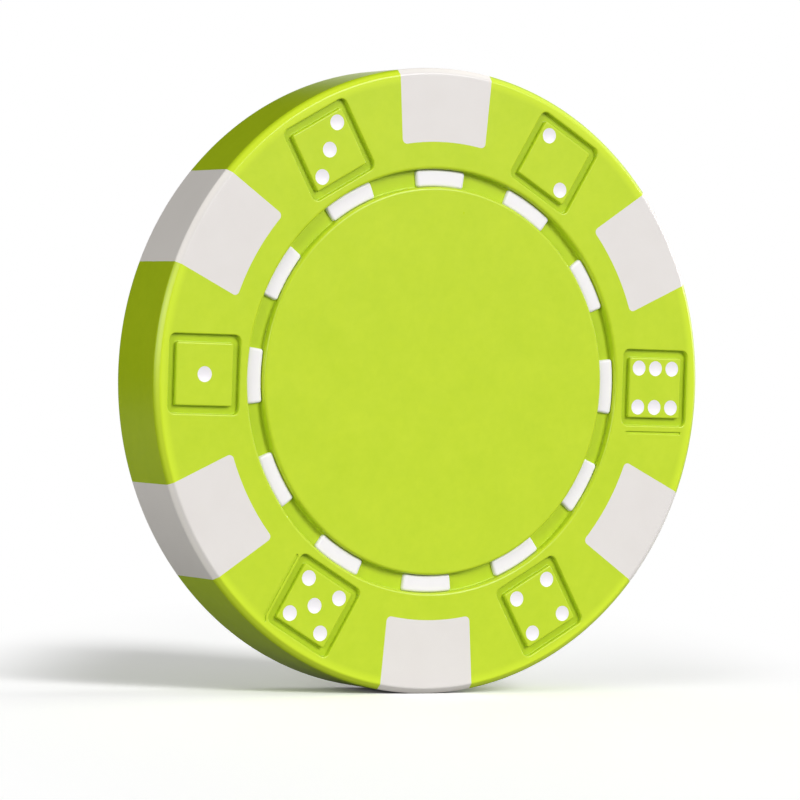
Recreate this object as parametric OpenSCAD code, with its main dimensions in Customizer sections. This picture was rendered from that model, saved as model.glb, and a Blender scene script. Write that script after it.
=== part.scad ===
// Poker chip of the dice pattern, standing on its rim.
// A green moulded body holds a steel weight, six edge spots that run through the
// whole thickness, and one white inlay behind each face. The inlays show through
// windows in the body as the dashes in the groove and as the pips of the dice.
// The chip's axis lies along Y with the front face towards -Y. The origin is on
// the floor under the middle of the chip.

/* [Chip] */
// Diameter over the rim
chip_d = 39; // [38:0.5:44]
// Thickness from face to face
chip_t = 5.5; // [5:0.1:7]
// Radius of the rounded edge between each face and the rim
edge_round = 0.42; // [0.2:0.02:0.5]

/* [Groove and dashes] */
// Width of the round groove
groove_w = 1.1; // [0.8:0.05:1.5]
// Depth of the round groove below the face
groove_depth = 0.55; // [0.5:0.05:0.9]
// Number of white dashes in the groove
dash_count = 12; // [6:1:16]
// Length of a dash along the middle of the groove
dash_length = 3.4; // [2:0.1:4]
// Gap between a dash and each wall of the groove
dash_gap = 0.05; // [0.02:0.01:0.1]
// Drop from the face to the top of a dash
dash_drop = 0.3; // [0.1:0.02:0.4]

/* [Dice] */
// Face left between a die's frame and the rim
rim_land = 0.9; // [0.8:0.05:1.4]
// Face left between a die's frame and the groove
groove_land = 0.55; // [0.5:0.05:1]
// Outer width of the sunk frame round a die
die_w = 4.85; // [4.4:0.05:5.4]
// Width of the sunk frame
die_frame_w = 0.5; // [0.3:0.01:0.5]
// Depth of the sunk frame
die_frame_depth = 0.3; // [0.2:0.05:0.5]
// Radius of the frame's outer corners
die_corner = 0.42; // [0.1:0.02:0.6]
// Radius of the corners of the die's own square
die_face_corner = 0.1; // [0.05:0.01:0.3]
// Diameter of a pip
pip_d = 0.96; // [0.7:0.02:1.1]
// Margin from the edge of a die's square to its outer pips
pip_margin = 0.2; // [0.1:0.02:0.22]
// Depth of the dish in the top of a pip
pip_dish = 0.07; // [0.05:0.01:0.2]

/* [Tool lines] */
// Width of the faint line beside a die
tool_line_w = 0.16; // [0.1:0.02:0.25]
// Depth of the faint line
tool_line_depth = 0.1; // [0.05:0.01:0.2]
// Distance from the sunk frame to the far side of the line beside the five
tool_line_gap_five = 0.34; // [0.2:0.02:0.4]
// Distance from the sunk frame to the far side of the line beside the six
tool_line_gap_six = 0.54; // [0.4:0.02:0.8]

/* [Edge spots] */
// Width of a spot at the rim
spot_w_rim = 6.64; // [5:0.02:7]
// Width of a spot at its inner end
spot_w_inner = 5.94; // [5:0.02:7]
// Radius of the inner corners of a spot
spot_corner = 0.3; // [0.1:0.02:0.5]
// How far the hidden tongue stands out from the sides of a spot
tongue_w = 0.6; // [0.3:0.05:0.7]
// Green plastic left between the tongue and the rim
tongue_cover = 1.2; // [0.8:0.1:2]

/* [Weight and inlays] */
// Thickness of the steel slug, and of the tongues that lie round it
slug_t = 1.2; // [0.8:0.1:1.6]
// Bevel on the slug's edges
slug_bevel = 0.15; // [0.05:0.05:0.3]
// Thickness of an inlay's ring and arms
inlay_t = 0.7; // [0.4:0.1:0.8]
// How far the inlay's ring reaches past each side of the groove
inlay_lip = 0.35; // [0.2:0.05:0.5]
// How far the slug reaches past the inlay's ring
slug_margin = 0.05; // [0.02:0.01:0.1]
// Green plastic between the slug and the tongues
slug_wall = 0.7; // [0.5:0.05:0.9]
// Margin of an inlay's arm round the pips that stand on it
arm_margin = 0.3; // [0.2:0.05:0.4]

/* [Hidden] */
$fn = 96;

// One overrun serves every cut
overrun = 1;

chip_r = chip_d / 2;
face_z = chip_t / 2;

die_count = 6;
die_r = chip_r - rim_land - die_w / 2;
die_face_w = die_w - 2 * die_frame_w;
pip_r = pip_d / 2;
pip_pitch = die_face_w / 2 - pip_margin - pip_r;
dish_r = (pip_r * pip_r + pip_dish * pip_dish) / (2 * pip_dish);
// Pips of each die, counted anticlockwise from the right
die_pips = [6, 2, 3, 1, 5, 4];

// The disc takes what the dice and the groove leave of the chip
groove_r = die_r - die_w / 2 - groove_land;
disc_r = groove_r - groove_w;
dash_r = (disc_r + groove_r) / 2;
dash_angle = dash_length / dash_r * 180 / PI;

inlay_z = slug_t / 2;
ring_inner_r = disc_r - inlay_lip;
ring_outer_r = groove_r + inlay_lip;
arm_half_w = pip_pitch + pip_r + arm_margin;
slug_r = ring_outer_r + slug_margin;

spot_count = 6;
spot_inner_r = slug_r + slug_wall + tongue_w;

lime = [0.77, 0.87, 0.22];
off_white = [0.90, 0.89, 0.88];
bright_white = [0.97, 0.96, 0.97];
steel = [0.62, 0.63, 0.65];

// The chip is drawn lying down, front face up, and this stands it on its rim
module standing() {
  translate([0, 0, chip_r]) rotate([90, 0, 0]) children();
}

// Turns what is drawn for the front face over to the rear face
module rear_side() {
  rotate([0, 180, 0]) children();
}

// Plain disc with rounded rim edges, before anything is cut from it
module blank() {
  flat_r = chip_r - edge_round;
  flat_z = face_z - edge_round;
  rotate_extrude() {
    translate([0, -face_z]) square([flat_r, chip_t]);
    translate([0, -flat_z]) square([chip_r, 2 * flat_z]);
    for (side = [-1, 1])
      translate([flat_r, side * flat_z]) circle(edge_round);
  }
}

// Slice of a circle, centred on the X axis and longer than any radius of the chip
module wedge(angle) {
  half_w = chip_d * tan(angle / 2);
  polygon([[0, 0], [chip_d, -half_w], [chip_d, half_w]]);
}

module ring(inner_r, outer_r) {
  difference() {
    circle(outer_r);
    circle(inner_r);
  }
}

module rounded_square(width, corner) {
  inner_w = width - 2 * corner;
  square([width, inner_w], center = true);
  square([inner_w, width], center = true);
  for (x = [-1, 1], y = [-1, 1])
    translate([x * inner_w / 2, y * inner_w / 2]) circle(corner);
}

// Round groove in the front face
module face_groove() {
  translate([0, 0, face_z - groove_depth])
    linear_extrude(groove_depth + overrun) ring(disc_r, groove_r);
}

// Places a shape at die number i, with X pointing at the rim
module at_die(i) {
  rotate([0, 0, i * 360 / die_count]) translate([die_r, 0, 0]) children();
}

// Sunk frame that leaves the square face of a die standing
module die_frame() {
  translate([0, 0, face_z - die_frame_depth])
    linear_extrude(die_frame_depth + overrun)
      difference() {
        rounded_square(die_w, die_corner);
        rounded_square(die_face_w, die_face_corner);
      }
}

// Faint line along the clockwise side of a die, where its mould insert was set.
// On the five it also runs round half of the corner towards the rim.
module tool_line(gap, turns_corner) {
  line_y = die_w / 2 + gap;
  line_length = die_w - 2 * die_corner;
  bend_r = line_y - line_length / 2;
  translate([0, 0, face_z - tool_line_depth])
    linear_extrude(tool_line_depth + overrun) {
      translate([-line_length / 2, -line_y]) square([line_length, tool_line_w]);
      if (turns_corner)
        translate([line_length / 2, -line_length / 2]) intersection() {
          ring(bend_r - tool_line_w, bend_r);
          polygon([[0, 0], [0, -line_y], [line_y, -line_y]]);
        }
    }
}

// Everything that is sunk into the front face of the body
module face_cuts() {
  face_groove();
  for (i = [0 : die_count - 1]) {
    at_die(i) die_frame();
    if (die_pips[i] == 6) at_die(i) tool_line(tool_line_gap_six, turns_corner = false);
    if (die_pips[i] == 5) at_die(i) tool_line(tool_line_gap_five, turns_corner = true);
  }
}

// Middles of the pips of a die, in steps of pip_pitch. X points at the rim.
function pip_places(count) =
  count == 6 ? [for (x = [-1 : 1], y = [-1, 1]) [x, y]] :
  concat(
    count % 2 == 1 ? [[0, 0]] : [],
    count == 2 || count == 4 || count == 5 ? [[1, 1], [-1, -1]] : [],
    count == 3 || count == 4 || count == 5 ? [[1, -1], [-1, 1]] : []
  );

// Solid of the front inlay: a ring and six arms on the slug, with the dashes
// standing on the ring and the pips on the arms. As a cut, dashes and pips run on
// by the given extra height, out of the face.
module inlay(extra) {
  translate([0, 0, inlay_z]) linear_extrude(inlay_t) {
    ring(ring_inner_r, ring_outer_r);
    for (i = [0 : die_count - 1]) rotate(i * 360 / die_count)
      translate([dash_r, -arm_half_w])
        square([die_r + arm_half_w - dash_r, 2 * arm_half_w]);
  }
  translate([0, 0, inlay_z]) linear_extrude(face_z - dash_drop - inlay_z + extra)
    for (i = [0 : dash_count - 1])
      rotate(i * 360 / dash_count) intersection() {
        ring(disc_r + dash_gap, groove_r - dash_gap);
        wedge(dash_angle);
      }
  for (i = [0 : die_count - 1]) at_die(i)
    for (place = pip_places(die_pips[i]))
      translate([place.x * pip_pitch, place.y * pip_pitch, inlay_z])
        cylinder(h = face_z - inlay_z + extra, r = pip_r);
}

// Balls that dish the tops of the pips
module pip_dishes() {
  for (i = [0 : die_count - 1]) at_die(i)
    for (place = pip_places(die_pips[i]))
      translate([place.x * pip_pitch, place.y * pip_pitch, face_z - pip_dish + dish_r])
        sphere(dish_r);
}

// Outline of an edge spot, which grows by the margin on its sides and inner end.
// The inner end follows a circle round the chip's middle and has rounded corners.
module spot_outline(margin) {
  inner_r = spot_inner_r - margin;
  flank_angle = atan2((spot_w_rim - spot_w_inner) / 2, chip_r - spot_inner_r);
  along = [cos(flank_angle), sin(flank_angle)];
  across = [-sin(flank_angle), cos(flank_angle)];
  flank_y = [spot_inner_r, spot_w_inner / 2] * across + margin;
  corner_y = flank_y - spot_corner;
  corner_x = sqrt(pow(inner_r + spot_corner, 2) - pow(corner_y, 2));
  corner = corner_x * along + corner_y * across;
  flank_start = corner + spot_corner * across;
  flank_end = flank_start + chip_r * along;
  half = [corner, flank_start, flank_end];
  difference() {
    union() {
      polygon(concat([[0, 0]], half, [for (i = [2 : -1 : 0]) [half[i].x, -half[i].y]]));
      for (side = [-1, 1])
        translate([corner.x, side * corner.y]) circle(spot_corner);
    }
    circle(inner_r);
  }
}

// Places a shape at spot number i, counted clockwise from the top
module at_spot(i) {
  rotate([0, 0, 90 - (i - 1) * 360 / spot_count]) children();
}

// Block of an edge spot, which runs out past both faces and the rim
module spot_block() {
  translate([0, 0, -face_z - overrun])
    linear_extrude(chip_t + 2 * overrun) spot_outline(0);
}

// Tongue round the middle of an edge spot, which locks it in the body
module spot_tongue() {
  translate([0, 0, -slug_t / 2]) linear_extrude(slug_t)
    intersection() {
      spot_outline(tongue_w);
      circle(chip_r - tongue_cover);
    }
}

module slug() {
  flat_r = slug_r - slug_bevel;
  flat_z = slug_t / 2 - slug_bevel;
  rotate_extrude()
    polygon([
      [0, -slug_t / 2], [flat_r, -slug_t / 2], [slug_r, -flat_z],
      [slug_r, flat_z], [flat_r, slug_t / 2], [0, slug_t / 2]
    ]);
}

// Green moulding, cast round the weight, the spots and both inlays
module chip_body() {
  color(lime) standing() difference() {
    blank();
    slug();
    for (i = [1 : spot_count]) at_spot(i) {
      spot_block();
      spot_tongue();
    }
    face_cuts();
    rear_side() face_cuts();
    inlay(overrun);
    rear_side() inlay(overrun);
  }
}

// Weight disc in the middle of the thickness
module steel_slug() {
  color(steel) standing() slug();
}

// Off-white block number i, counted clockwise from the top
module edge_spot(i) {
  color(off_white) standing() at_spot(i) {
    intersection() {
      blank();
      spot_block();
    }
    spot_tongue();
  }
}

// White moulding behind the front face
module front_inlay() {
  color(bright_white) standing() difference() {
    inlay(0);
    pip_dishes();
  }
}

// White moulding behind the rear face
module rear_inlay() {
  color(bright_white) standing() rear_side() difference() {
    inlay(0);
    pip_dishes();
  }
}

chip_body();
steel_slug();
edge_spot(1);  // edge_spot_1
edge_spot(2);  // edge_spot_2
edge_spot(3);  // edge_spot_3
edge_spot(4);  // edge_spot_4
edge_spot(5);  // edge_spot_5
edge_spot(6);  // edge_spot_6
front_inlay();
rear_inlay();
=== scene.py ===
import math
from cmath import phase, rect
from itertools import chain

import bmesh
import bpy
from mathutils import Matrix, Vector
from mathutils.geometry import delaunay_2d_cdt


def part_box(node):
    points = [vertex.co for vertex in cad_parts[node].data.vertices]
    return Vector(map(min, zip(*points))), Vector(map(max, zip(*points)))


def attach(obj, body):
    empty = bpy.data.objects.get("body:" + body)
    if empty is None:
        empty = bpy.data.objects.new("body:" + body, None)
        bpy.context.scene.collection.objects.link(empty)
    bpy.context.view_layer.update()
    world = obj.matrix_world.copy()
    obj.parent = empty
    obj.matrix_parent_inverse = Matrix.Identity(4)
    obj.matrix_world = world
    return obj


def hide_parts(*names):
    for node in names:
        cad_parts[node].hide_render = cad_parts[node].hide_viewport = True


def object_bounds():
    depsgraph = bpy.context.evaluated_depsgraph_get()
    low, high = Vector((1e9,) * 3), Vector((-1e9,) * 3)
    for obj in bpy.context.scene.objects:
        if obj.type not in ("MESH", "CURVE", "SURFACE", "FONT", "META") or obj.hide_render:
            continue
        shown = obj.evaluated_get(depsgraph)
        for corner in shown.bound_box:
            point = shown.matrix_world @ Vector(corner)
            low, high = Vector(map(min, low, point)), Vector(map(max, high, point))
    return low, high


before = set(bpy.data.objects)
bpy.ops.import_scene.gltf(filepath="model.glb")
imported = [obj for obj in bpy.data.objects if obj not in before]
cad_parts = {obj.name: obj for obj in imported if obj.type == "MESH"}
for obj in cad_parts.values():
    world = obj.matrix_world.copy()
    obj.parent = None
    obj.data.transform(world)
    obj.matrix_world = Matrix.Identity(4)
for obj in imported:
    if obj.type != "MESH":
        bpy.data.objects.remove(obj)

# The chip as a whole. It stands on its rim with its axis along Y and its front face
# towards -Y. Its pieces are drawn in millimetres from the middle of the chip. A place in
# the plane of the chip is a complex number, to the right and up, so that a product turns
# it, and a height is measured from the middle of the thickness towards the front face.
MM = 0.001
cad_low, cad_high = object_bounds()
chip_radius = (cad_high.z - cad_low.z) / 2 / MM
face_height = (cad_high.y - cad_low.y) / 2 / MM


# Steel slug
# A blanked and tumbled disc of mild steel in the middle of the thickness, which gives
# the chip its weight. It is laid in the mould first and never shows.
slug_low, slug_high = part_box("steel_slug")
slug_radius = (slug_high.z - slug_low.z) / 2 / MM
slug_half = (slug_high.y - slug_low.y) / 2 / MM
steel_dark = (0.27, 0.28, 0.30, 1)
steel_pale = (0.42, 0.43, 0.45, 1)
steel_roughness = 0.3
steel_unevenness = 0.25
steel_patch = 0.15
scuff_size = 0.4
scuff_depth = 0.01


class Link:
    """A node's output. Sums, differences and products of links add Math nodes."""

    def __init__(self, finish, socket):
        self.finish = finish
        self.socket = socket

    def math(self, operation, first, second):
        return self.finish.node("ShaderNodeMath", {"operation": operation}, {0: first, 1: second})

    def __add__(self, other):
        return self.math("ADD", self, other)

    def __radd__(self, other):
        return self.math("ADD", other, self)

    def __sub__(self, other):
        return self.math("SUBTRACT", self, other)

    def __rsub__(self, other):
        return self.math("SUBTRACT", other, self)

    def __mul__(self, other):
        return self.math("MULTIPLY", self, other)

    def __rmul__(self, other):
        return self.math("MULTIPLY", other, self)


class Finish:
    """Nodes of one material, or of the world. Every added node comes from node()."""

    def __init__(self, owner, shader="Principled BSDF"):
        owner.use_nodes = True
        self.material = owner
        self.tree = owner.node_tree
        self.shader = self.tree.nodes[shader]

    def connect(self, socket, value):
        if isinstance(value, Link):
            self.tree.links.new(value.socket, socket)
        else:
            socket.default_value = value

    def node(self, kind, settings, inputs, output=0):
        made = self.tree.nodes.new(kind)
        for name, value in settings.items():
            setattr(made, name, value)
        for name, value in inputs.items():
            self.connect(made.inputs[name], value)
        return Link(self, made.outputs[output])

    def place(self):
        return self.node("ShaderNodeTexCoord", {}, {}, "Object")

    def noise(self, grain_mm, detail=2.0):
        """Soft blotches of about the given size, as a value around 0.5"""
        inputs = {"Vector": self.place(), "Scale": 1 / (grain_mm * MM), "Detail": detail}
        return self.node("ShaderNodeTexNoise", {}, inputs, "Fac")

    def blend(self, share, first, second):
        """Colour that goes from the first to the second as the share goes from 0 to 1"""
        # A Mix node has its colours in the inputs 6 and 7 and the output 2
        settings = {"data_type": "RGBA"}
        return self.node("ShaderNodeMix", settings, {0: share, 6: first, 7: second}, 2)

    def rise(self, value, start, end):
        """Goes from 0 to 1 as the value goes from the start to the end, which may be lower"""
        settings = {"interpolation_type": "SMOOTHSTEP"}
        inputs = {"Value": value, "From Min": start, "From Max": end}
        return self.node("ShaderNodeMapRange", settings, inputs)

    def radius(self):
        """Distance from the chip's axis"""
        # The place loses its part along the axis and is then measured from the axis
        settings = {"operation": "MULTIPLY_ADD"}
        inputs = {0: self.place(), 1: (1, 0, 1), 2: (0, 0, -chip_radius * MM)}
        from_axis = self.node("ShaderNodeVectorMath", settings, inputs)
        return self.node("ShaderNodeVectorMath", {"operation": "LENGTH"}, {0: from_axis}, "Value")

    def near_rim(self, start, full):
        """Goes from 0 to 1 between two distances inside the rim, in millimetres"""
        return self.rise(self.radius(), (chip_radius - start) * MM, (chip_radius - full) * MM)

    def bump(self, height, depth_mm):
        return self.node("ShaderNodeBump", {}, {"Height": height, "Distance": depth_mm * MM})

    def set(self, **values):
        for name, value in values.items():
            self.connect(self.shader.inputs[name.replace("_", " ")], value)


steel = Finish(bpy.data.materials.new("tumbled_steel"))
scuffs = steel.noise(scuff_size)
steel.set(
    Base_Color=steel.blend(scuffs, steel_dark, steel_pale),
    Metallic=1.0,
    Roughness=steel_roughness + steel_unevenness * steel.noise(steel_patch),
    Normal=steel.bump(scuffs, scuff_depth),
)
slug_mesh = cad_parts["steel_slug"].data
slug_mesh.materials.clear()
slug_mesh.materials.append(steel.material)


# Edge spots
# Six off-white blocks of the same plastic as the body. Each runs from face to face and
# over the rim, level with the green, and a tongue round its middle keeps it in place.
spot_count = 6
spot_rim_width = 6.64
spot_inner_width = 5.94
spot_corner = 0.3
spot_inner_radius = 14.9
tongue_reach = 0.6
tongue_cover = 1.2
edge_round = 0.42
edge_crease_round = 0.2
# A row of points this far past a rounded edge keeps the shading of the flat beside it even
flat_edge = 0.03
round_steps = 8
spot_rim_steps = 64
spot_end_steps = 12
# Darkest and palest white of the clouds in the plastic on the faces, and the paler white painted onto
# the rim and its bevel as painted light and a painted highlight. This painted light starts and is full
# at two distances inside the rim.
spot_face_whites = (0.785, 0.745, 0.72, 1), (0.835, 0.80, 0.78, 1)
spot_rim_painted_light_whites = (0.87, 0.83, 0.78, 1), (0.92, 0.88, 0.83, 1)
spot_rim_painted_light_start = 0.4
spot_rim_painted_light_full = 0.15
spot_cloud_size = 2.5
spot_cloud_detail = 3.0
plastic_specular = 0.35


class Shell:
    """Closed skin of one piece. A point that is asked for twice is the same point."""

    # Points are the same where they agree to this many digits
    digits = 5
    # How a flat face is divided: the kind of result that is asked for, and how near to each
    # other two of its points may lie
    triangles_inside = 1
    tolerance = 1e-6
    sharp_angle = math.radians(35)

    def __init__(self):
        self.points = []
        self.numbers = {}
        self.faces = []

    def point(self, place, height):
        key = tuple(round(length, self.digits) for length in (place.real, place.imag, height))
        if key not in self.numbers:
            self.numbers[key] = len(self.points)
            self.points.append((place.real, place.imag, height))
        return self.numbers[key]

    def row(self, places, height):
        return [self.point(place, height) for place in places]

    def band(self, first, second, closed=False):
        """Faces between two rows of as many points each"""
        count = len(first)
        for i in range(count if closed else count - 1):
            j = (i + 1) % count
            self.faces.append((first[i], first[j], second[j], second[i]))

    def sheet(self, *loops):
        """Flat face inside the first closed row of points, with the other rows as holes"""
        numbers = []
        rounds = []
        for loop in loops:
            row = [complex(*self.points[number][:2]) for number in loop]
            area = sum((a.conjugate() * b).imag for a, b in zip(row, row[1:] + row[:1]))
            rounds.append([len(numbers) + i for i in range(len(loop))])
            numbers += loop if area > 0 else loop[::-1]
        flat = [Vector(self.points[number][:2]) for number in numbers]
        found = delaunay_2d_cdt(flat, [], rounds, self.triangles_inside, self.tolerance)
        _, _, triangles, sources, _, rounds_over = found
        for triangle, over in zip(triangles, rounds_over):
            if over == [0]:
                self.faces.append(tuple(numbers[sources[corner][0]] for corner in triangle))

    def both_sides(self, axis_angle):
        """Adds a copy turned over about an axis in the plane of the chip"""
        turn = rect(1, 2 * axis_angle)
        turned = [self.point(complex(u, -v) * turn, -height) for u, v, height in list(self.points)]
        self.faces += [tuple(turned[number] for number in face) for face in self.faces]

    def piece(self, name, finish, angle=0, turned_over=False):
        """Object of the shell, turned about the chip's axis or over onto the rear face"""
        turn = Matrix.Rotation(math.pi, 4, "Y") if turned_over else Matrix.Rotation(angle, 4, "Z")
        stand = Matrix.Translation((0, 0, chip_radius)) @ Matrix.Rotation(math.pi / 2, 4, "X")
        mesh = bpy.data.meshes.new(name)
        mesh.from_pydata(self.points, [], self.faces)
        mesh.transform(Matrix.Scale(MM, 4) @ stand @ turn)
        shape = bmesh.new()
        shape.from_mesh(mesh)
        bmesh.ops.recalc_face_normals(shape, faces=shape.faces)
        shape.to_mesh(mesh)
        shape.free()
        mesh.shade_smooth()
        mesh.set_sharp_from_angle(angle=self.sharp_angle)
        mesh.materials.append(finish.material)
        made = bpy.data.objects.new(name, mesh)
        bpy.context.scene.collection.objects.link(made)
        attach(made, "root")
        return made


def quarter(steps):
    """Angles of the points along a quarter of a circle"""
    return [math.pi / 2 * step / steps for step in range(steps + 1)]


# Radius and height of the rim, from the face to the middle of the thickness. Its edge is a
# bevel between two small rounds.
edge_bevel = edge_round - edge_crease_round
upper_round = []
lower_round = []
for turn in quarter(round_steps):
    out = edge_crease_round * (1 - math.sin(turn))
    down = edge_crease_round * (1 - math.cos(turn))
    if turn <= math.pi / 4:
        upper_round.append((chip_radius - edge_bevel - out, face_height - down))
    if turn >= math.pi / 4:
        lower_round.append((chip_radius - out, face_height - edge_bevel - down))
rim_profile = [(chip_radius - edge_round - flat_edge, face_height)]
rim_profile += upper_round + lower_round
rim_profile.append((chip_radius, face_height - edge_round - flat_edge))
rim_profile.append((chip_radius, 0))

# The sides of a spot come a little nearer to each other towards the middle of the chip
spot_lean = math.atan2((spot_rim_width - spot_inner_width) / 2, chip_radius - spot_inner_radius)
spot_side_way = rect(1, spot_lean)
spot_side_reach = (complex(spot_inner_radius, spot_inner_width / 2) / spot_side_way).imag


def side_place(radius, margin=0):
    """Where a spot's side is at a radius, for a spot on the right, grown by a margin"""
    reach = spot_side_reach + margin
    return complex(math.sqrt(radius**2 - reach**2), reach) * spot_side_way


def spot_end(margin=0):
    """Inner end of a spot with its two rounded corners, from one side to the other"""
    inner = spot_inner_radius - margin
    reach = spot_side_reach + margin - spot_corner
    middle = complex(math.sqrt((inner + spot_corner) ** 2 - reach**2), reach) * spot_side_way
    first = spot_lean + math.pi / 2
    last = phase(middle) + math.pi
    half = []
    for step in range(round_steps + 1):
        half.append(middle + rect(spot_corner, first + (last - first) * step / round_steps))
    for step in range(1, spot_end_steps):
        half.append(rect(inner, phase(middle) * (1 - step / spot_end_steps)))
    return [*half, complex(inner, 0), *(place.conjugate() for place in reversed(half))]


def rim_patch(shell, middle, half_angles, steps):
    """Part of the rounded rim between two sides of spots. Returns its row on the face."""
    rows = []
    for (radius, height), half_angle in zip(rim_profile, half_angles):
        angles = [middle + half_angle * (2 * step / steps - 1) for step in range(steps + 1)]
        rows.append(shell.row([rect(radius, angle) for angle in angles], height))
    for upper, lower in zip(rows, rows[1:]):
        shell.band(upper, lower)
    return rows[0]


def spot_walls(shell, angle):
    """Where a spot meets the green, with the step of its tongue, down to the middle of the
    thickness. Returns the row of the inner end on the face."""
    turn = rect(1, angle)
    end = [place * turn for place in spot_end()]
    tongue_end = [place * turn for place in spot_end(tongue_reach)]
    face_row = shell.row(end, face_height)
    shell.band(face_row, shell.row(end, slug_half))
    shell.band(shell.row(tongue_end, slug_half), shell.row(tongue_end, 0))
    root = side_place(chip_radius - tongue_cover)
    tip = side_place(chip_radius - tongue_cover, tongue_reach)
    outline = end + [root.conjugate() * turn, tip.conjugate() * turn]
    outline += tongue_end[::-1] + [tip * turn, root * turn]
    shell.sheet(shell.row(outline, slug_half))
    near_side = (end[0], tongue_end[0], False)
    far_side = (end[-1], tongue_end[-1], True)
    for start, tongue_start, mirrored in (near_side, far_side):
        profile = [(side_place(radius), height) for radius, height in rim_profile]
        corners = [root, tip]
        if mirrored:
            profile = [(place.conjugate(), height) for place, height in profile]
            corners = [place.conjugate() for place in corners]
        flat = [shell.point(start, face_height)]
        flat += [shell.point(place * turn, height) for place, height in profile]
        flat += [shell.point(corners[0] * turn, height) for height in (0, slug_half)]
        flat.append(shell.point(start, slug_half))
        shell.faces.append(tuple(flat))
        tongue_side = [corners[0] * turn, corners[1] * turn, tongue_start]
        shell.band(shell.row(tongue_side, slug_half), shell.row(tongue_side, 0))
    return face_row


def moulded(plastic, colour, roughness=0.26, unevenness=0.08, patch=0.6, grain=0.09, depth=0.0015):
    """Satin that a plastic takes from its mould, with uneven patches and a fine grain. The
    sizes of both and the depth of the grain are in millimetres."""
    plastic.set(
        Base_Color=colour,
        Roughness=roughness + unevenness * plastic.noise(patch),
        Normal=plastic.bump(plastic.noise(grain), depth),
        Specular_IOR_Level=plastic_specular,
    )


spot_plastic = Finish(bpy.data.materials.new("off_white_plastic"))
spot_clouds = spot_plastic.noise(spot_cloud_size, spot_cloud_detail)
face_white = spot_plastic.blend(spot_clouds, *spot_face_whites)
# The rim and its bevel get a paler white: painted light on the rim and a painted highlight on the
# bevel.
painted_light_rim_white = spot_plastic.blend(spot_clouds, *spot_rim_painted_light_whites)
spot_rim_painted_light_mask = spot_plastic.near_rim(spot_rim_painted_light_start, spot_rim_painted_light_full)
moulded(spot_plastic, spot_plastic.blend(spot_rim_painted_light_mask, face_white, painted_light_rim_white))

spot_half_angles = [phase(side_place(radius)) for radius, height in rim_profile]
spot_shell = Shell()
spot_rim_row = rim_patch(spot_shell, 0, spot_half_angles, spot_rim_steps)
spot_face_row = spot_walls(spot_shell, 0)
spot_shell.sheet(spot_face_row + spot_rim_row)
spot_shell.both_sides(0)
spot_angles = [math.pi / 2 - number * math.tau / spot_count for number in range(spot_count)]
for number, angle in enumerate(spot_angles, start=1):
    spot = spot_shell.piece(f"edge_block_{number}", spot_plastic, angle)
    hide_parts(f"edge_spot_{number}")


# Front and rear inlays
# Two bright white mouldings, one on each side of the slug. A ring carries the twelve
# dashes of the groove and six arms carry the dished pips, which show through the green.
groove_radius = 13.2
disc_radius = 12.1
dash_count = 12
dash_length = 3.4
dash_gap = 0.015
dash_drop = 0.3
dash_corner = 0.2
dash_edge = 0.16
inlay_thickness = 0.7
inlay_lip = 0.35
arm_margin = 0.3
die_count = 6
die_radius = 16.175
die_face_width = 3.85
pip_radius = 0.48
pip_margin = 0.2
pip_dish = 0.07
# Pips of each die, counted anticlockwise from the right
die_pips = [6, 2, 3, 1, 5, 4]
circle_steps = 360
ring_arc_steps = 30
pip_circle_steps = 48
pip_dish_steps = 8
inlay_whites = (0.91, 0.88, 0.92, 1), (0.94, 0.91, 0.95, 1)
inlay_cloud_size = 1.2

inlay_top = slug_half + inlay_thickness
ring_inner = disc_radius - inlay_lip
ring_outer = groove_radius + inlay_lip
pip_pitch = die_face_width / 2 - pip_margin - pip_radius
arm_half_width = pip_pitch + pip_radius + arm_margin


def circle(radius, steps=circle_steps):
    """Places on a circle, with the way out of it at each"""
    ways = [rect(1, math.tau * step / steps) for step in range(steps)]
    return [(radius * way, way) for way in ways]


def rounded_box(width, height, corner, corner_steps=6, side_steps=12):
    """Places round a box with rounded corners, with the way out of it at each"""
    outline = []
    for number, (right, up) in enumerate([(1, 1), (-1, 1), (-1, -1), (1, -1)]):
        middle = complex(right * (width / 2 - corner), up * (height / 2 - corner))
        for turn in quarter(corner_steps):
            way = rect(1, turn + number * math.pi / 2)
            outline.append((middle + corner * way, way))
        side = (height if number % 2 else width) - 2 * corner
        start, way = outline[-1]
        for step in range(1, side_steps):
            outline.append((start + way * 1j * side * step / side_steps, way))
    return outline


def turned(outline, turn, shift=0):
    """Outline that is shifted and then turned about the chip's axis"""
    return [((place + shift) * turn, way * turn) for place, way in outline]


def bent(outline, radius):
    """Bends an outline that is drawn round a place at the radius along the circle there"""
    made = []
    for place, way in outline:
        turn = rect(1, place.imag / radius)
        made.append(((radius + place.real) * turn, way * turn))
    return made


def places(outline, out=0):
    """Places of an outline that grows by a distance all round"""
    return [place + out * way for place, way in outline]


def step_down(drop, top_round, floor_round=0, steps=5):
    """Profile of a wall with rounded edges, as distances towards its high side and heights
    below its top"""
    rows = [(top_round + flat_edge, 0)]
    for turn in quarter(steps):
        rows.append((top_round * (1 - math.sin(turn)), top_round * (1 - math.cos(turn))))
    rows.append((0, top_round + flat_edge))
    if floor_round:
        rows.append((0, drop - floor_round - flat_edge))
        for turn in quarter(steps):
            out = -floor_round * (1 - math.cos(turn))
            rows.append((out, drop - floor_round * (1 - math.sin(turn))))
        rows.append((-floor_round - flat_edge, drop))
    else:
        rows.append((0, drop))
    return rows


# Where the high side of a wall lies, seen from the middle of its outline
outwards = 1
inwards = -1


def wall(shell, outline, top, profile, high_side):
    """Wall along a closed outline. Returns its rows on the high side and on the floor."""
    rows = [shell.row(places(outline, high_side * out), top - down) for out, down in profile]
    for upper, lower in zip(rows, rows[1:]):
        shell.band(upper, lower, closed=True)
    return rows[0], rows[-1]


def shaft(shell, outline, top, foot):
    """Straight wall along a closed row of places"""
    shell.band(shell.row(outline, top), shell.row(outline, foot), closed=True)


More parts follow.
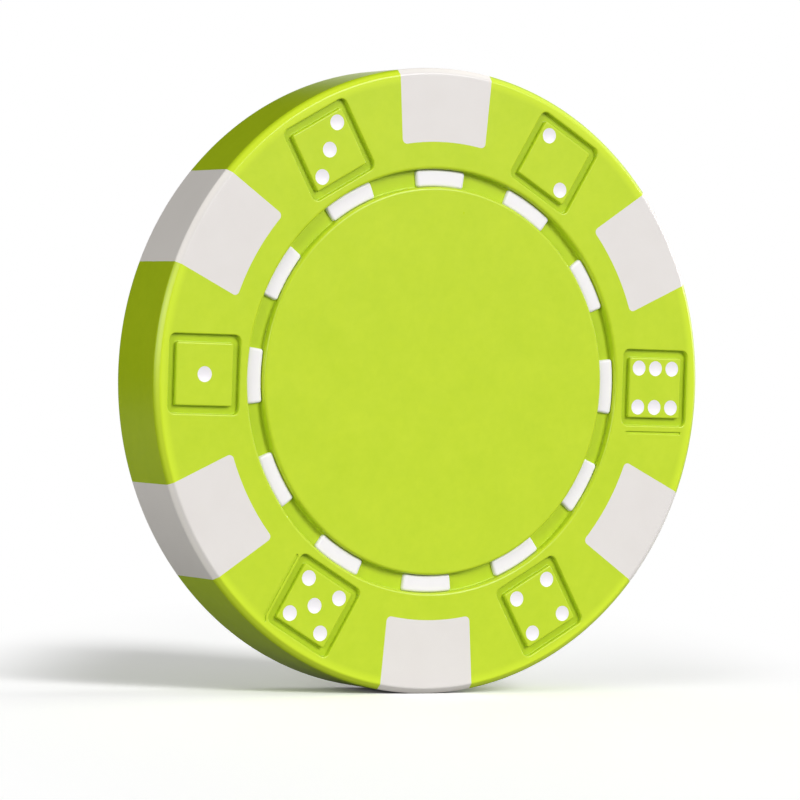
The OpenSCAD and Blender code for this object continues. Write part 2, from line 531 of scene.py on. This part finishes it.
# Outlines of the twelve dashes, and of what carries dashes and pips behind the green
dash_radius = (disc_radius + groove_radius) / 2
dash_width = groove_radius - disc_radius - 2 * dash_gap
dash_turns = [rect(1, math.tau * number / dash_count) for number in range(dash_count)]
dash_box = bent(rounded_box(dash_width, dash_length, dash_corner), dash_radius)
dashes = [turned(dash_box, turn) for turn in dash_turns]
die_turns = [rect(1, math.tau * number / die_count) for number in range(die_count)]

arm_end = die_radius + arm_half_width
arc_start = math.asin(arm_half_width / ring_outer)
arc = math.tau / die_count - 2 * arc_start
arc_angles = [arc_start + arc * step / ring_arc_steps for step in range(ring_arc_steps + 1)]
carrier = []
for turn in die_turns:
    carrier += [turn * complex(arm_end, side * arm_half_width) for side in (-1, 1)]
    carrier += [turn * rect(ring_outer, angle) for angle in arc_angles]


def pip_steps(count):
    """Middles of a die's pips, in steps of the pitch. The real part points at the rim."""
    if count == 6:
        return [complex(out, side) for out in (-1, 0, 1) for side in (-1, 1)]
    middles = [0] if count % 2 else []
    middles += [1 + 1j, -1 - 1j] if count in (2, 4, 5) else []
    middles += [1 - 1j, -1 + 1j] if count in (3, 4, 5) else []
    return middles


pip_circle = circle(pip_radius, pip_circle_steps)
pips_by_die = []
for count, turn in zip(die_pips, die_turns):
    middles = [die_radius + step * pip_pitch for step in pip_steps(count)]
    pips_by_die.append([turned(pip_circle, turn, middle) for middle in middles])

inlay_plastic = Finish(bpy.data.materials.new("bright_white_plastic"))
inlay_white = inlay_plastic.blend(inlay_plastic.noise(inlay_cloud_size), *inlay_whites)
moulded(inlay_plastic, inlay_white, roughness=0.34, unevenness=0.1, patch=0.5, grain=0.08, depth=0.001)

inlay_shell = Shell()
holes = []
dash_top = face_height - dash_drop
dash_profile = step_down(dash_top - inlay_top, dash_edge)
for dash in dashes:
    top_row, foot_row = wall(inlay_shell, dash, dash_top, dash_profile, inwards)
    inlay_shell.sheet(top_row)
    holes.append(foot_row)
dish_radius = (pip_radius**2 + pip_dish**2) / (2 * pip_dish)
for pip in chain(*pips_by_die):
    rows = [inlay_shell.row(places(pip), inlay_top)]
    for step in range(pip_dish_steps):
        radius = pip_radius * (1 - step / pip_dish_steps)
        dip = math.sqrt(dish_radius**2 - radius**2) - dish_radius + pip_dish
        rows.append(inlay_shell.row(places(pip, radius - pip_radius), face_height - dip))
    for lower, upper in zip(rows, rows[1:]):
        inlay_shell.band(lower, upper, closed=True)
    inlay_shell.sheet(rows[-1])
    holes.append(rows[0])
ring_hole = places(circle(ring_inner))
for outline in (carrier, ring_hole):
    shaft(inlay_shell, outline, inlay_top, slug_half)
top_rows = [inlay_shell.row(outline, inlay_top) for outline in (carrier, ring_hole)]
foot_rows = [inlay_shell.row(outline, slug_half) for outline in (carrier, ring_hole)]
inlay_shell.sheet(*top_rows, *holes)
inlay_shell.sheet(*foot_rows)
for name, node, turned_over in (
    ("front_white_moulding", "front_inlay", False),
    ("rear_white_moulding", "rear_inlay", True),
):
    inlay = inlay_shell.piece(name, inlay_plastic, turned_over=turned_over)
    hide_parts(node)


# Green body
# One lime green moulding of satin ABS, cast round the slug, the spots and both inlays.
# On each face it has the round groove, the sunk frames of the dice and two faint lines
# where inserts were set in the mould.
groove_depth = 0.55
groove_top_round = 0.18
groove_floor_round = 0.05
die_width = 4.85
die_corner = 0.42
die_face_corner = 0.13
die_frame_depth = 0.3
frame_top_round = 0.08
frame_floor_round = 0.04
die_top_round = 0.09
tool_line_width = 0.16
tool_line_depth = 0.1
tool_line_depth_five = 0.085
tool_line_gap_five = 0.34
tool_line_gap_six = 0.54
tool_line_round = 0.03
window_inset = 0.16
window_corner = 0.05
slug_bevel = 0.15
body_rim_steps = 96
line_bend_steps = 8
# Darkest and palest green of the clouds in the plastic on the faces; darker greens on the rim and on
# what is sunk below the face, which are painted shade; and the brighter green beside the edge, which
# is a painted highlight
face_greens = (0.52, 0.70, 0.021, 1), (0.60, 0.76, 0.030, 1)
rim_painted_shade_greens = (0.43, 0.60, 0.006, 1), (0.50, 0.66, 0.010, 1)
recess_painted_shade_greens = (0.45, 0.62, 0.010, 1), (0.51, 0.67, 0.016, 1)
painted_highlight_green = (0.66, 0.84, 0.030, 1)
green_cloud_size = 3.0
green_cloud_detail = 4.0
mottle_size = 0.5
mottle_share = 0.7
# Distances inside the rim at which the painted highlight beside the edge, the painted shade on the rim
# and the painted shade of what is sunk start and are full
painted_highlight_start = 1.0
painted_highlight_full = 0.45
rim_painted_shade_start = 0.2
rim_painted_shade_full = 0.02
recess_painted_shade_margin_start = 0.5
recess_painted_shade_margin_full = 0.6
# Depths at which the painted shade of what is sunk starts and is full. Up to the groove's outer edge
# there is only a share of it, and past that edge all of it comes in over a short width.
recess_painted_shade_depth_start = 0.08
recess_painted_shade_depth_full = 0.25
recess_painted_shade_share_in_groove = 0.4
recess_painted_shade_change_width = 0.4

green_plastic = Finish(bpy.data.materials.new("lime_green_plastic"))
green_clouds = green_plastic.noise(green_cloud_size, green_cloud_detail)
green_clouds = green_clouds + mottle_share * (green_plastic.noise(mottle_size) - 0.5)
open_green = green_plastic.blend(green_clouds, *face_greens)
# A brighter green beside the edge is a painted highlight.
painted_highlight_mask = green_plastic.near_rim(painted_highlight_start, painted_highlight_full)
open_green = green_plastic.blend(painted_highlight_mask, open_green, painted_highlight_green)
# A darker green on the rim is painted shade.
painted_shade_rim_green = green_plastic.blend(green_clouds, *rim_painted_shade_greens)
rim_painted_shade_mask = green_plastic.near_rim(rim_painted_shade_start, rim_painted_shade_full)
open_green = green_plastic.blend(rim_painted_shade_mask, open_green, painted_shade_rim_green)
# A darker green in the groove and in the frames of the dice is painted shade in the recesses.
recess_painted_shade_green = green_plastic.blend(green_clouds, *recess_painted_shade_greens)
along_axis = green_plastic.node("ShaderNodeSeparateXYZ", {}, {0: green_plastic.place()}, "Y")
height_there = green_plastic.node("ShaderNodeMath", {"operation": "ABSOLUTE"}, {0: along_axis})
recess_painted_shade_start_height = (face_height - recess_painted_shade_depth_start) * MM
recess_painted_shade_full_height = (face_height - recess_painted_shade_depth_full) * MM
below_face = green_plastic.rise(height_there, recess_painted_shade_start_height, recess_painted_shade_full_height)
inside_edge = green_plastic.near_rim(recess_painted_shade_margin_start, recess_painted_shade_margin_full)
change_end = (groove_radius + recess_painted_shade_change_width) * MM
past_groove = green_plastic.rise(green_plastic.radius(), groove_radius * MM, change_end)
recess_painted_shade_share = recess_painted_shade_share_in_groove + (1 - recess_painted_shade_share_in_groove) * past_groove
recess_painted_shade = below_face * inside_edge * recess_painted_shade_share
moulded(green_plastic, green_plastic.blend(recess_painted_shade, open_green, recess_painted_shade_green))

body = Shell()

# Rim between the spots, and the outline of the face
body_half_angles = [math.pi / spot_count - half_angle for half_angle in spot_half_angles]
face_outline = []
for angle in reversed(spot_angles):
    face_outline += spot_walls(body, angle)[::-1]
    face_outline += rim_patch(body, angle + math.pi / spot_count, body_half_angles, body_rim_steps)

# Groove with the windows of the dashes, and the level disc inside it
groove_profile = step_down(groove_depth, groove_top_round, groove_floor_round)
groove_edge, groove_outer = wall(body, circle(groove_radius), face_height, groove_profile, outwards)
disc_edge, groove_inner = wall(body, circle(disc_radius), face_height, groove_profile, inwards)
body.sheet(disc_edge)
floor_height = face_height - groove_depth
window_width = dash_width - 2 * window_inset
window_length = dash_length - 2 * window_inset
window_box = bent(rounded_box(window_width, window_length, window_corner), dash_radius)
windows = [places(turned(window_box, turn)) for turn in dash_turns]
body.sheet(groove_outer, groove_inner, *(body.row(window, floor_height) for window in windows))
for window in windows:
    shaft(body, window, floor_height, inlay_top)

# Sunk frames round the dice, and the windows of the pips
face_holes = [groove_edge]
frame_box = rounded_box(die_width, die_width, die_corner)
die_box = rounded_box(die_face_width, die_face_width, die_face_corner)
frame_profile = step_down(die_frame_depth, frame_top_round, frame_floor_round)
die_profile = step_down(die_frame_depth, die_top_round, frame_floor_round)
for turn, pips in zip(die_turns, pips_by_die):
    frame_outline = turned(frame_box, turn, die_radius)
    die_outline = turned(die_box, turn, die_radius)
    frame_edge, frame_outer = wall(body, frame_outline, face_height, frame_profile, outwards)
    die_edge, frame_inner = wall(body, die_outline, face_height, die_profile, inwards)
    body.sheet(frame_outer, frame_inner)
    pip_windows = [places(pip) for pip in pips]
    body.sheet(die_edge, *(body.row(window, face_height) for window in pip_windows))
    for window in pip_windows:
        shaft(body, window, face_height, inlay_top)
    windows += pip_windows
    face_holes.append(frame_edge)


def stroke(path, width, cap_steps=8):
    """Outline of a line with round ends, drawn through places with the ways it runs there"""
    outline = []
    for run in (path, [(place, -way) for place, way in reversed(path)]):
        outline += [(place + width / 2 * way * 1j, way * 1j) for place, way in run]
        end, way = run[-1]
        for step in range(1, cap_steps):
            out = way * rect(1, math.pi / 2 - math.pi * step / cap_steps)
            outline.append((end + width / 2 * out, out))
    return outline


# Faint lines beside the six and the five. The one beside the five runs on round half of
# the corner.
line_end = die_width / 2 - die_corner
six_side = die_width / 2 + tool_line_gap_six - tool_line_width / 2
six_path = [(complex(out, -six_side), 1 + 0j) for out in (-line_end, line_end)]
five_side = die_width / 2 + tool_line_gap_five - tool_line_width / 2
five_path = [(complex(-line_end, -five_side), 1 + 0j)]
for turn in quarter(line_bend_steps)[: line_bend_steps // 2 + 1]:
    bend = (five_side - line_end) * rect(1, turn - math.pi / 2)
    five_path.append((complex(line_end, -line_end) + bend, rect(1, turn)))
tool_lines = [(6, six_path, tool_line_depth), (5, five_path, tool_line_depth_five)]
for count, path, depth in tool_lines:
    line = turned(stroke(path, tool_line_width), die_turns[die_pips.index(count)], die_radius)
    line_profile = step_down(depth, tool_line_round)
    line_edge, line_floor = wall(body, line, face_height, line_profile, outwards)
    body.sheet(line_floor)
    face_holes.append(line_edge)
body.sheet(face_outline, *face_holes)

# Hidden room for the inlay and the slug
for outline in (carrier, ring_hole):
    shaft(body, outline, inlay_top, slug_half)
body.sheet(*(body.row(outline, inlay_top) for outline in (carrier, ring_hole, *windows)))
body.sheet(body.row(ring_hole, slug_half))
slug_circle = places(circle(slug_radius))
slug_rows = [
    body.row(places(circle(slug_radius - slug_bevel)), slug_half),
    body.row(slug_circle, slug_half - slug_bevel),
    body.row(slug_circle, 0),
]
body.sheet(body.row(carrier, slug_half), slug_rows[0])
for upper, lower in zip(slug_rows, slug_rows[1:]):
    body.band(upper, lower, closed=True)

body.both_sides(math.pi / 2)
green_body = body.piece("green_moulding", green_plastic)
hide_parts("chip_body")


# Floor
# A plain white table, slightly glossy, which keeps the shadow of the chip. It fades into
# the white of the room around it. What is seen of it straight fades sooner on the left and
# the right, so that the shadow runs out softly.
floor_radius = 0.8
floor_points = 96
floor_fade_start = 0.10
floor_fade_end = 0.30
# What is seen straight is white past an oval, which is turned and longer than it is wide
oval_turn = math.radians(-30)
oval_stretch = 4
oval_fade_start = 0.018
oval_fade_end = 0.032
floor_shine = 0.03
floor_shine_roughness = 0.25
floor_colour = (1.31, 1.31, 1.31, 1)
floor_bounce_colour = (0.32, 0.32, 0.32, 1)

bpy.ops.mesh.primitive_circle_add(vertices=floor_points, radius=floor_radius, fill_type="NGON")
floor = bpy.context.object
floor.name = "white_table"

table = Finish(bpy.data.materials.new("white_table_top"))
seen = table.node("ShaderNodeLightPath", {}, {}, "Is Camera Ray")
oval_place = table.node(
    "ShaderNodeMapping",
    {"vector_type": "TEXTURE"},
    {"Vector": table.place(), "Rotation": (0, 0, oval_turn), "Scale": (1, oval_stretch, 1)},
)
length = {"operation": "LENGTH"}
oval_distance = table.node("ShaderNodeVectorMath", length, {0: oval_place}, "Value")
oval_fade = table.rise(oval_distance, oval_fade_start, oval_fade_end)
distance = table.node("ShaderNodeVectorMath", length, {0: table.place()}, "Value")
floor_fade = table.rise(distance, floor_fade_start, floor_fade_end)
fade = seen * oval_fade + (1 - seen) * floor_fade
matt_colour = table.blend(seen, floor_bounce_colour, floor_colour)
matt = table.node("ShaderNodeBsdfDiffuse", {}, {"Color": matt_colour})
shine = table.node("ShaderNodeBsdfGlossy", {}, {"Roughness": floor_shine_roughness})
lit = table.node("ShaderNodeMixShader", {}, {0: floor_shine, 1: matt, 2: shine})
white = table.node("ShaderNodeEmission", {}, {"Strength": seen})
top = table.node("ShaderNodeMixShader", {}, {0: fade, 1: lit, 2: white})
table.connect(table.tree.nodes["Material Output"].inputs["Surface"], top)
floor.data.materials.append(table.material)


# Room
# White all round as the camera sees it, with a dim even light on the chip. Reflections see
# a white wall on the right of the chip and a dark room on its left.
room_light = 0.25
white_wall_way = (1, 0.1, 0)
white_wall_start = 0.42
white_wall_full = 0.55
room = bpy.data.worlds.new("white_room")
bpy.context.scene.world = room
walls = Finish(room, "Background")
way = walls.node("ShaderNodeTexCoord", {}, {}, "Generated")
towards = {"operation": "DOT_PRODUCT"}
rightness = walls.node("ShaderNodeVectorMath", towards, {0: way, 1: white_wall_way}, "Value")
white_wall = walls.rise(rightness, white_wall_start, white_wall_full)
straight = walls.node("ShaderNodeLightPath", {}, {}, "Is Camera Ray")
mirrored = walls.node("ShaderNodeLightPath", {}, {}, "Is Glossy Ray")
other = 1 - straight - mirrored
walls.set(Color=(1, 1, 1, 1), Strength=straight + mirrored * white_wall + other * room_light)


# Lamps
# Three soft boxes. The large one stands to the right in front of the chip, lights its face
# and throws its shadow to the left. A weak one stands on the left and lights the rim, and one
# on the right draws the thin bright lines on the edges that face it.
lamp_distance = 5


def soft_box(name, way, width, height, brightness):
    """Lamp that stands one way from the chip and lights what faces it so brightly"""
    lamp = bpy.data.lights.new(name, "AREA")
    lamp.shape = "RECTANGLE"
    lamp.size = width
    lamp.size_y = height
    lamp.energy = brightness * (math.pi * lamp_distance) ** 2
    made = bpy.data.objects.new(name, lamp)
    way = Vector(way).normalized()
    made.location = way * lamp_distance
    made.rotation_euler = way.to_track_quat("Z", "Y").to_euler()
    bpy.context.scene.collection.objects.link(made)


soft_box("front_soft_box", (0.38, -0.80, 0.46), 1.8, 2.6, 0.77)
soft_box("left_soft_box", (-0.85, -0.42, 0.25), 2.2, 2.2, 0.39)
soft_box("right_soft_box", (0.96, 0.05, 0.22), 1.4, 1.4, 0.36)


# Camera
# It looks at the chip through a long lens, from the front left and a little above the
# table, and leans a little.
camera_place = Vector((-0.13830, -0.24256, 0.02083))
camera_aim = Vector((-0.00099, 0, 0.01824))
camera_lean = math.radians(1.93)
lens_length = 200
sensor_width = 36
lens = bpy.data.cameras.new("photo_camera")
lens.lens = lens_length
lens.sensor_width = sensor_width
camera = bpy.data.objects.new("photo_camera", lens)
facing = (camera_aim - camera_place).to_track_quat("-Z", "Y").to_matrix()
camera.matrix_world = (
    Matrix.Translation(camera_place) @ (facing @ Matrix.Rotation(camera_lean, 3, "Z")).to_4x4()
)
bpy.context.scene.collection.objects.link(camera)
bpy.context.scene.camera = camera
bpy.context.scene.view_settings.view_transform = "Standard"
